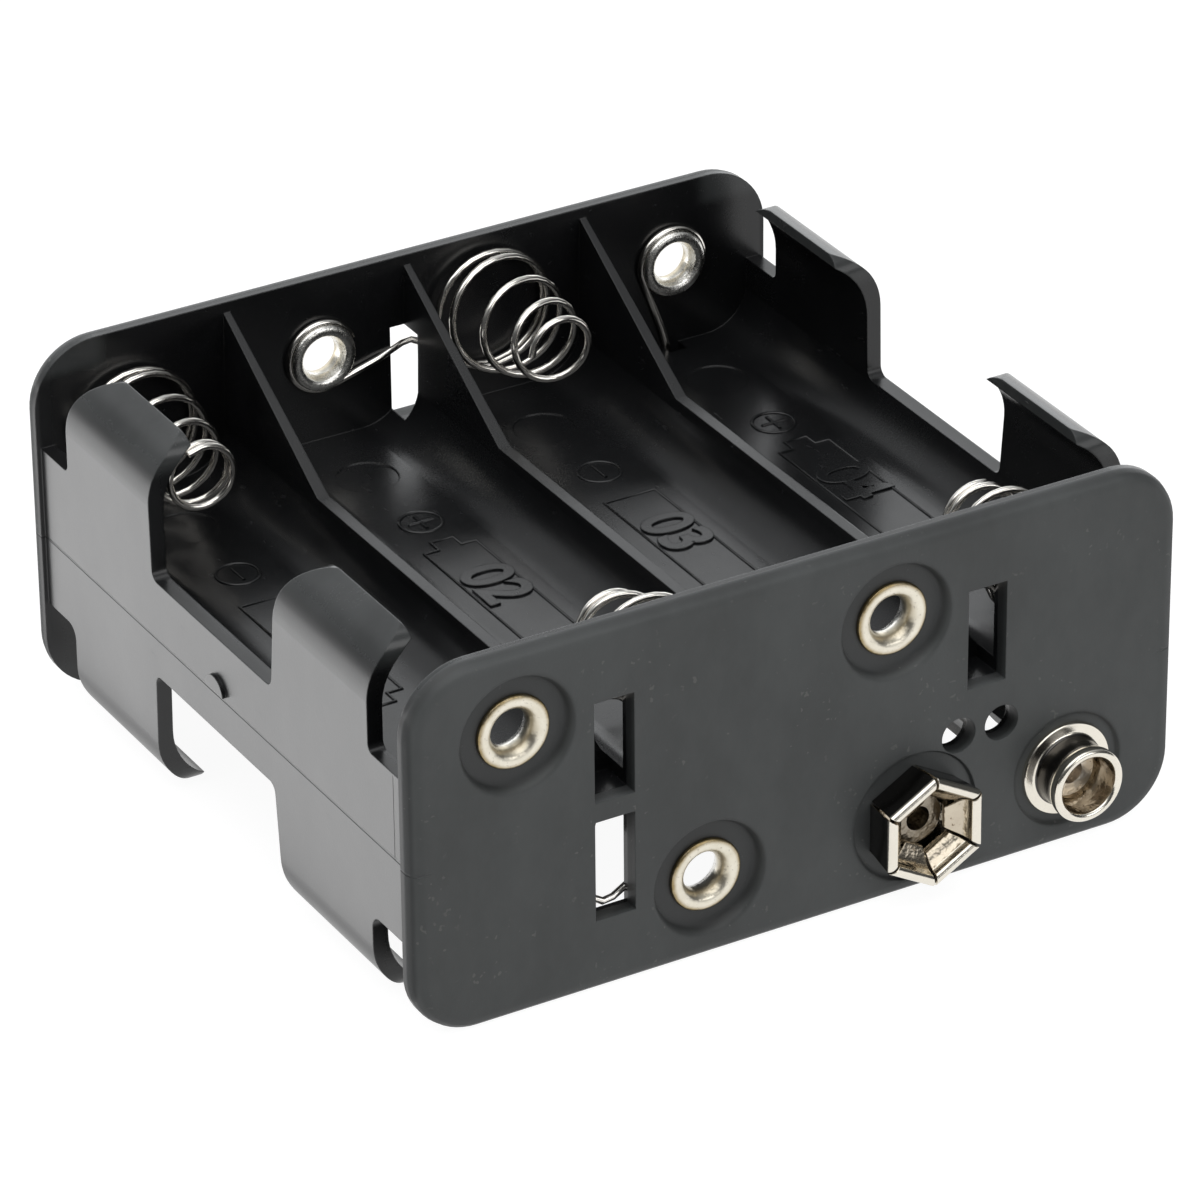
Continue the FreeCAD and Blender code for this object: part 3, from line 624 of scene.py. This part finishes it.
def bay_marks():
    """Polarity rings, the cell's outline and a number on every bay floor."""
    ring_y = front_face + 40.8
    ring_radius = 1.6
    half = 2.15
    near, far = front_face + 20.3, front_face + 36.4
    nub_half, nub = 0.95, 1.3
    for up in (1, -1):
        for bay in range(1, bays_across + 1):
            x = bay_centres[bay - 1]
            tag = "%s_%d" % (side_names[up], bay)
            plus_behind = (bay % 2 == 0) == (up > 0)
            circle = arc_points((x, ring_y), ring_radius, 0, 2 * math.pi, 32)[:-1]
            raised_line("ring_" + tag, circle, True, up)
            raised_line("sign_across_" + tag, [(x, ring_y - 1), (x, ring_y + 1)], False, up)
            if plus_behind:
                raised_line("sign_along_" + tag, [(x - 1, ring_y), (x + 1, ring_y)], False, up)
                outline = [(x - half, near), (x + half, near), (x + half, far), (x + nub_half, far),
                           (x + nub_half, far + nub), (x - nub_half, far + nub), (x - nub_half, far),
                           (x - half, far)]
            else:
                outline = [(x - half, near), (x - nub_half, near), (x - nub_half, near - nub),
                           (x + nub_half, near - nub), (x + nub_half, near), (x + half, near),
                           (x + half, far), (x - half, far)]
            raised_line("cell_outline_" + tag, outline, True, up)
            bay_number("number_" + tag, "0%d" % bay, x, near + 0.6 * (far - near), up)


def finish_solids():
    """Materials for the CAD solids that show as they are."""
    finished(nodes["holder_body"], moulding_finish)
    for name, node in nodes.items():
        if name.startswith("eyelet_"):
            finished(node, eyelet_finish)
        elif name.startswith("spring_"):
            finished(node, wire_finish)
        elif name.startswith("snap_"):
            finished(node, snap_finish)
        elif name.endswith("_rivet"):
            # The socket's rivet takes the painted-shade copy.
            finished(node, shaded_rivet_finish if name == "socket_rivet" else rivet_finish)


# Camera of the photograph, solved from the plates, eyelets, slots and snaps
camera_azimuth = -29.920
camera_elevation = 29.250
camera_roll = -0.558
camera_distance = 522.075
camera_target = (0.522, 1.5, 12.159)
frame_width = 1200
focal_pixels = 7245.2


def camera():
    """Camera at the photograph's place."""
    data = bpy.data.cameras.new("camera")
    data.sensor_width = 36
    data.lens = focal_pixels / frame_width * data.sensor_width
    data.clip_start = 0.02
    data.clip_end = 20
    taken = bpy.data.objects.new("camera", data)
    bpy.context.scene.collection.objects.link(taken)
    bpy.context.scene.camera = taken
    a, e = math.radians(camera_azimuth), math.radians(camera_elevation)
    back = Vector((math.sin(a) * math.cos(e), -math.cos(a) * math.cos(e), math.sin(e)))
    right = (-back).cross(Vector((0, 0, 1))).normalized()
    up = right.cross(-back)
    r = math.radians(camera_roll)
    level_right = right * math.cos(r) + up * math.sin(r)
    level_up = up * math.cos(r) - right * math.sin(r)
    turn = Matrix((level_right, level_up, back)).transposed()
    place = Vector(camera_target) * MM + back * (camera_distance * MM)
    taken.matrix_world = Matrix.Translation(place) @ turn.to_4x4()


def lamp(name, place, target, size, radiance):
    """Square soft box whose glowing face has the given radiance."""
    data = bpy.data.lights.new(name, "AREA")
    data.shape = "RECTANGLE"
    data.size, data.size_y = size
    data.energy = radiance * math.pi * size[0] * size[1]
    box = bpy.data.objects.new(name, data)
    box.location = place
    box.rotation_euler = (Vector(target) - Vector(place)).to_track_quat("-Z", "Y").to_euler()
    box.visible_camera = False
    bpy.context.scene.collection.objects.link(box)


def studio():
    """White table and backdrop, a dim room in front, soft light above and a lit table on the left."""
    data = bpy.data.meshes.new("table_top")
    reach = 3.0
    data.from_pydata([(-reach, -reach, 0), (reach, -reach, 0), (reach, reach, 0), (-reach, reach, 0)],
                     [], [(0, 1, 2, 3)])
    table = bpy.data.objects.new("table_top", data)
    table.location.z = -0.00002
    bpy.context.scene.collection.objects.link(table)
    white = Finish("white_table", Roughness=0.9, Specular_IOR_Level=0.0)
    white.shader.inputs["Base Color"].default_value = (0.18, 0.18, 0.18, 1)
    white.shader.inputs["Emission Color"].default_value = (1, 1, 1, 1)
    white.shader.inputs["Emission Strength"].default_value = 1.0
    path = white.tree.nodes.new("ShaderNodeLightPath")
    camera_ray = Value(white, path.outputs["Is Camera Ray"])
    glossy_ray = Value(white, path.outputs["Is Glossy Ray"])
    clear_ray = Value(white, path.outputs["Is Transmission Ray"])
    seen = (camera_ray + glossy_ray + clear_ray).clamped() * 0.94
    glow = white.node("ShaderNodeCombineColor", {}, [seen, seen, seen])
    white.feed("Emission Color", glow)
    table.data.materials.append(white.material)

    world = bpy.data.worlds.new("studio_air")
    bpy.context.scene.world = world
    world.use_nodes = True
    tree = world.node_tree
    air = tree.nodes["Background"]
    air.inputs["Color"].default_value = (0.965, 0.985, 1.0, 1)
    rays = tree.nodes.new("ShaderNodeLightPath")
    place = tree.nodes.new("ShaderNodeTexCoord")
    split = tree.nodes.new("ShaderNodeSeparateXYZ")
    tree.links.new(place.outputs["Generated"], split.inputs[0])

    def fade(axis, low, high, least, most):
        made = tree.nodes.new("ShaderNodeMapRange")
        made.interpolation_type = "SMOOTHSTEP"
        for name, value in (("From Min", low), ("From Max", high), ("To Min", least), ("To Max", most)):
            made.inputs[name].default_value = value
        tree.links.new(split.outputs[axis], made.inputs["Value"])
        return made.outputs[0]

    def joined(operation, first, second):
        made = tree.nodes.new("ShaderNodeMath")
        made.operation = operation
        tree.links.new(first, made.inputs[0])
        tree.links.new(second, made.inputs[1])
        return made.outputs[0]

    backdrop = joined("MULTIPLY", fade(1, 0.1, 0.6, 0.0, 1.65), fade(2, 0.47, 0.62, 1.0, 0.1))
    backdrop = joined("MULTIPLY", backdrop, fade(0, -0.48, -0.1, 0.2, 1.0))
    strength = joined("ADD", fade(2, 0.3, 1.0, 0.07, 0.6), backdrop)
    pick = tree.nodes.new("ShaderNodeMix")
    pick.data_type = "FLOAT"
    tree.links.new(rays.outputs["Is Camera Ray"], pick.inputs[0])
    tree.links.new(strength, pick.inputs[2])
    pick.inputs[3].default_value = 1.0
    tree.links.new(pick.outputs[0], air.inputs["Strength"])

    lamp("overhead_box", (-0.15, -0.1, 0.7), (0, 0, 0.01), (0.85, 0.85), 1.35)
    lamp("front_box", (0.25, -0.7, 0.35), (0, 0, 0.01), (0.5, 0.4), 2.0)
    lamp("left_table_glow", (-0.1625, 0.117, 0.0005), (-0.1625, 0.117, 1), (0.259, 0.288), 1.55)


finish_solids()
springs()
eyelets()
male_snap(middle - snap_drop)
female_snap(middle - snap_drop)
bay_marks()
camera()
studio()
bpy.context.scene.view_settings.view_transform = "Standard"
